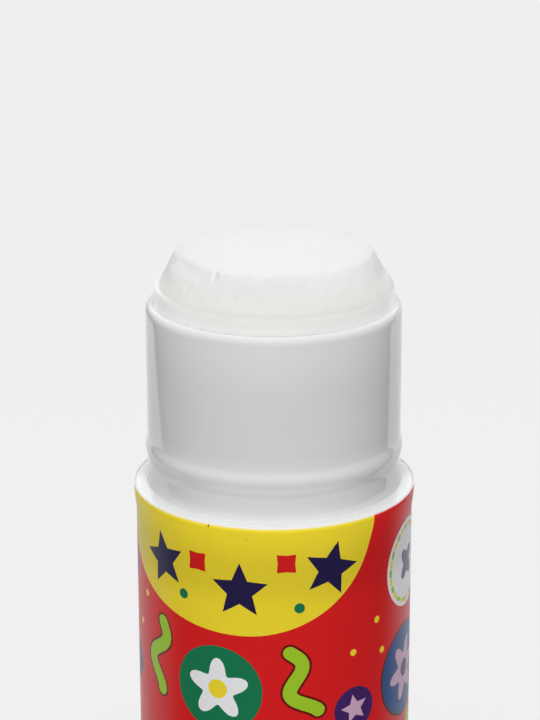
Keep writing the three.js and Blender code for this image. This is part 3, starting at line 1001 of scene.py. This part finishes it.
def make_film(materials):
    """The film's sleeve: the flat print wound round the body, with an inner face and rims."""
    flat, triangles, inks = flat_print()
    index_of = {}
    corner_of = []
    vertices = []
    for across, up in flat:
        angle = across / PRINT_RADIUS
        key = (round(up, 4), round(math.sin(angle), 5), round(math.cos(angle), 5))
        if key not in index_of:
            index_of[key] = len(vertices)
            height = up
            if up > PRINT_TOP - CUT_EDGE - 0.01:
                around = Vector((math.sin(angle), math.cos(angle), 0.5))
                chips = max(noise.noise(around * 75) - 0.05, 0)
                height -= EDGE_CHIPS * chips + EDGE_WAVES * abs(noise.noise(around * 17))
            radius = film_radius(up)
            vertices.append(Vector((radius * math.sin(angle), -radius * math.cos(angle), height)))
        corner_of.append(index_of[key])
    outer = [[corner_of[i] for i in triangle] for triangle in triangles]
    count = len(vertices)
    inner = [[corner + count for corner in reversed(face)] for face in outer]
    thickness = (FILM_THICKNESS + FILM_GAP) / MM - INNER_GAP
    for vertex in list(vertices):
        radius = math.hypot(vertex.x, vertex.y)
        scale = (radius - thickness) / radius
        vertices.append(Vector((vertex.x * scale, vertex.y * scale, vertex.z)))
    sides = dict.fromkeys(side for face in outer for side in zip(face, face[1:] + face[:1]))
    rims = [[b, a, a + count, b + count] for a, b in sides if (b, a) not in sides]
    faces = outer + inner + rims
    vertices = [Vector((v.x * MM, v.y * MM, SHOULDER + v.z * MM)) for v in vertices]
    piece = add_mesh("printed_film", vertices, faces, None, "barrel")
    mesh = piece.data
    for material in materials:
        mesh.materials.append(material)
    indices = list(inks) + [INKS.index("white")] * (len(inner) + len(rims))
    mesh.polygons.foreach_set("material_index", np.array(indices, np.int32))
    corners = [(flat[i][0], flat[i][1]) for triangle in triangles for i in triangle]
    corners += [corner for k in range(0, len(corners), 3) for corner in reversed(corners[k:k + 3])]
    layout = mesh.uv_layers.new(name="flat_print")
    for loop, corner in zip(layout.data, corners):
        loop.uv = corner
    normals = []
    for polygon in mesh.polygons:
        for corner in polygon.vertices:
            place = mesh.vertices[corner].co
            outward = Vector((place.x, place.y, 0)).normalized()
            if polygon.index < len(outer):
                lean = TURN_LEAN * ramp(place.z, FILM_TOP - TURN_DEPTH, FILM_TOP)
                normals.append((outward + Vector((0, 0, lean))).normalized())
            elif polygon.index < 2 * len(outer):
                normals.append(-outward)
            else:
                normals.append(polygon.normal.copy())
    mesh.normals_split_custom_set(normals)
    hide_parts("printed_label")


# Stage. The camera sees an even ground and background. Glossy faces see a studio that is bright behind the
# object, between two edges on the floor in metres, and dark in front of it.
BACKGROUND = srgb(239, 239, 239)
COOL = (0.97, 0.99, 1.0, 1.0)
FLOOR_BOUNCE = srgb(100, 100, 100)
FLOOR_HALF = 3.0
FLOOR_DROP = 0.1 * MM
SHADOW_START = 0.02
SHADOW_REACH = 0.3
SHADOW_SHARE = 0.55
BRIGHT_LEFT = -0.181
LEFT_SLANT = 0.15
LEFT_SOFT = 0.005
BRIGHT_RIGHT = -0.107
RIGHT_SLOPE = 1.2
RIGHT_SOFT = 0.007
MIDDLE_SOFT = 0.02
BRIGHT_FLOOR = 0.97
SKY = 0.571

# Its lamps: name, place, target, width, height, power and whether glossy faces mirror it
LAMPS = (
    ("front", (-0.03, -0.7, 0.75), (0, 0, 0.08), 0.7, 0.6, 6.83, False),
    ("back", (0, 0.75, 0.6), (0, 0, 0.08), 0.9, 0.5, 1.34, True),
    ("low_back", (0, 0.8, 0.14), (0, 0, 0.06), 0.9, 0.2, 1.8, False),
)


def make_camera():
    forward = Vector((math.cos(CAMERA_PITCH) * math.sin(CAMERA_YAW),
                      math.cos(CAMERA_PITCH) * math.cos(CAMERA_YAW), -math.sin(CAMERA_PITCH)))
    level = Vector((math.cos(CAMERA_YAW), -math.sin(CAMERA_YAW), 0))
    above = level.cross(forward)
    right = level * math.cos(CAMERA_ROLL) + above * math.sin(CAMERA_ROLL)
    up = above * math.cos(CAMERA_ROLL) - level * math.sin(CAMERA_ROLL)
    data = bpy.data.cameras.new("photo_camera")
    data.sensor_fit = "VERTICAL"
    data.sensor_height = SENSOR_HEIGHT
    data.lens = FOCAL_LENGTH * SENSOR_HEIGHT / IMAGE_HEIGHT
    data.clip_start = 0.01
    data.clip_end = 20
    camera = add_object("photo_camera", data)
    turn = Matrix((right, up, -forward)).transposed().to_4x4()
    camera.matrix_world = Matrix.Translation(CAMERA_PLACE) @ turn
    bpy.context.scene.camera = camera


def area_lamp(name, place, target, width, height, power, mirrored):
    """An oblong lamp that points at its target."""
    data = bpy.data.lights.new(name, "AREA")
    data.shape = "RECTANGLE"
    data.size = width
    data.size_y = height
    data.energy = power
    lamp = add_object(name, data)
    lamp.location = place
    lamp.rotation_euler = (Vector(target) - Vector(place)).to_track_quat("-Z", "Y").to_euler()
    lamp.visible_glossy = mirrored


def camera_ray(nodes, links, paths):
    """1 for the camera's own rays, straight or through a clear piece, and 0 for the others."""
    return math_node(nodes, links, "MAXIMUM", paths.outputs["Is Camera Ray"],
                     paths.outputs["Is Transmission Ray"])


def make_world():
    """A white sky that lights the object, behind which the camera sees the background."""
    world = bpy.data.worlds.new("studio")
    bpy.context.scene.world = world
    world.use_nodes = True
    nodes, links = world.node_tree.nodes, world.node_tree.links
    light = nodes["Background"]
    light.inputs["Color"].default_value = (1, 1, 1, 1)
    light.inputs["Strength"].default_value = SKY
    view = nodes.new("ShaderNodeBackground")
    view.inputs["Color"].default_value = BACKGROUND
    seen = camera_ray(nodes, links, nodes.new("ShaderNodeLightPath"))
    mix = mixed_shader(nodes, links, seen, light, view)
    links.new(mix.outputs[0], nodes["World Output"].inputs["Surface"])


def make_floor():
    """A pale floor. The camera sees it as the photograph's even ground with the object's own shadow, and
    glossy faces reflect its bright part behind the object and the dark studio in front."""
    mesh = bpy.data.meshes.new("floor")
    corners = [(FLOOR_HALF * x, FLOOR_HALF * y, 0) for x, y in ((-1, -1), (1, -1), (1, 1), (-1, 1))]
    mesh.from_pydata(corners, [], [(0, 1, 2, 3)])
    material, nodes, links, shader = new_material("pale_floor")
    paths = nodes.new("ShaderNodeLightPath")
    seen = camera_ray(nodes, links, paths)
    shade = mixed_color(nodes, links, seen, FLOOR_BOUNCE, BACKGROUND)
    links.new(shade, shader.inputs["Base Color"])
    shader.inputs["Roughness"].default_value = 1.0
    shader.inputs["Specular IOR Level"].default_value = 0.0

    place = nodes.new("ShaderNodeTexCoord")
    split = nodes.new("ShaderNodeSeparateXYZ")
    links.new(place.outputs["Object"], split.inputs[0])
    x, y = split.outputs["X"], split.outputs["Y"]
    distance = nodes.new("ShaderNodeVectorMath")
    distance.operation = "LENGTH"
    links.new(place.outputs["Object"], distance.inputs[0])
    even = ramp_node(nodes, links, distance.outputs["Value"], SHADOW_START, SHADOW_REACH, SHADOW_SHARE, 1.0)

    slant = math_node(nodes, links, "ADD", x, math_node(nodes, links, "MULTIPLY", y, LEFT_SLANT))
    left = ramp_node(nodes, links, slant, BRIGHT_LEFT - LEFT_SOFT, BRIGHT_LEFT + LEFT_SOFT)
    beyond = math_node(nodes, links, "SUBTRACT", y, math_node(nodes, links, "MULTIPLY", x, RIGHT_SLOPE))
    right = ramp_node(nodes, links, beyond, BRIGHT_RIGHT - RIGHT_SOFT, BRIGHT_RIGHT + RIGHT_SOFT)
    behind = ramp_node(nodes, links, y, -MIDDLE_SOFT, MIDDLE_SOFT)
    bright = math_node(nodes, links, "MULTIPLY", math_node(nodes, links, "MULTIPLY", left, right), behind)
    power = math_node(nodes, links, "MULTIPLY", bright, BRIGHT_FLOOR)

    mirrored = nodes.new("ShaderNodeEmission")
    mirrored.inputs["Color"].default_value = COOL
    links.new(power, mirrored.inputs["Strength"])
    ground = nodes.new("ShaderNodeEmission")
    ground.inputs["Color"].default_value = BACKGROUND
    glow = mixed_shader(nodes, links, seen, mirrored, ground)
    share = math_node(nodes, links, "MAXIMUM", math_node(nodes, links, "MULTIPLY", seen, even),
                      paths.outputs["Is Glossy Ray"])
    mix = mixed_shader(nodes, links, share, shader, glow)
    links.new(mix.outputs[0], nodes["Material Output"].inputs["Surface"])
    mesh.materials.append(material)
    floor = add_object("floor", mesh)
    floor.location.z = -FLOOR_DROP


def make_stage():
    bpy.context.scene.view_settings.view_transform = "Standard"
    make_world()
    make_floor()
    for lamp in LAMPS:
        area_lamp(*lamp)


make_camera()
make_stage()
white = plastic("white_plastic", srgb(222, 223, 222), srgb(225, 225, 225), 0.07, subsurface=0.15,
                glow=True)
make_barrel(white)
make_glue(glue_material())
make_film([ink_material(name) for name in INKS])
make_knob(plastic("knob_plastic", srgb(220, 220, 218), srgb(224, 224, 222), 0.22, 0.004 * MM, 0.15))
inner = plastic("inner_plastic", srgb(216, 216, 211), srgb(221, 221, 217), 0.35, 0.004 * MM)
for name in ("carrier", "drive_screw"):
    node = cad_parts[name]
    node.data.materials.clear()
    node.data.materials.append(inner)
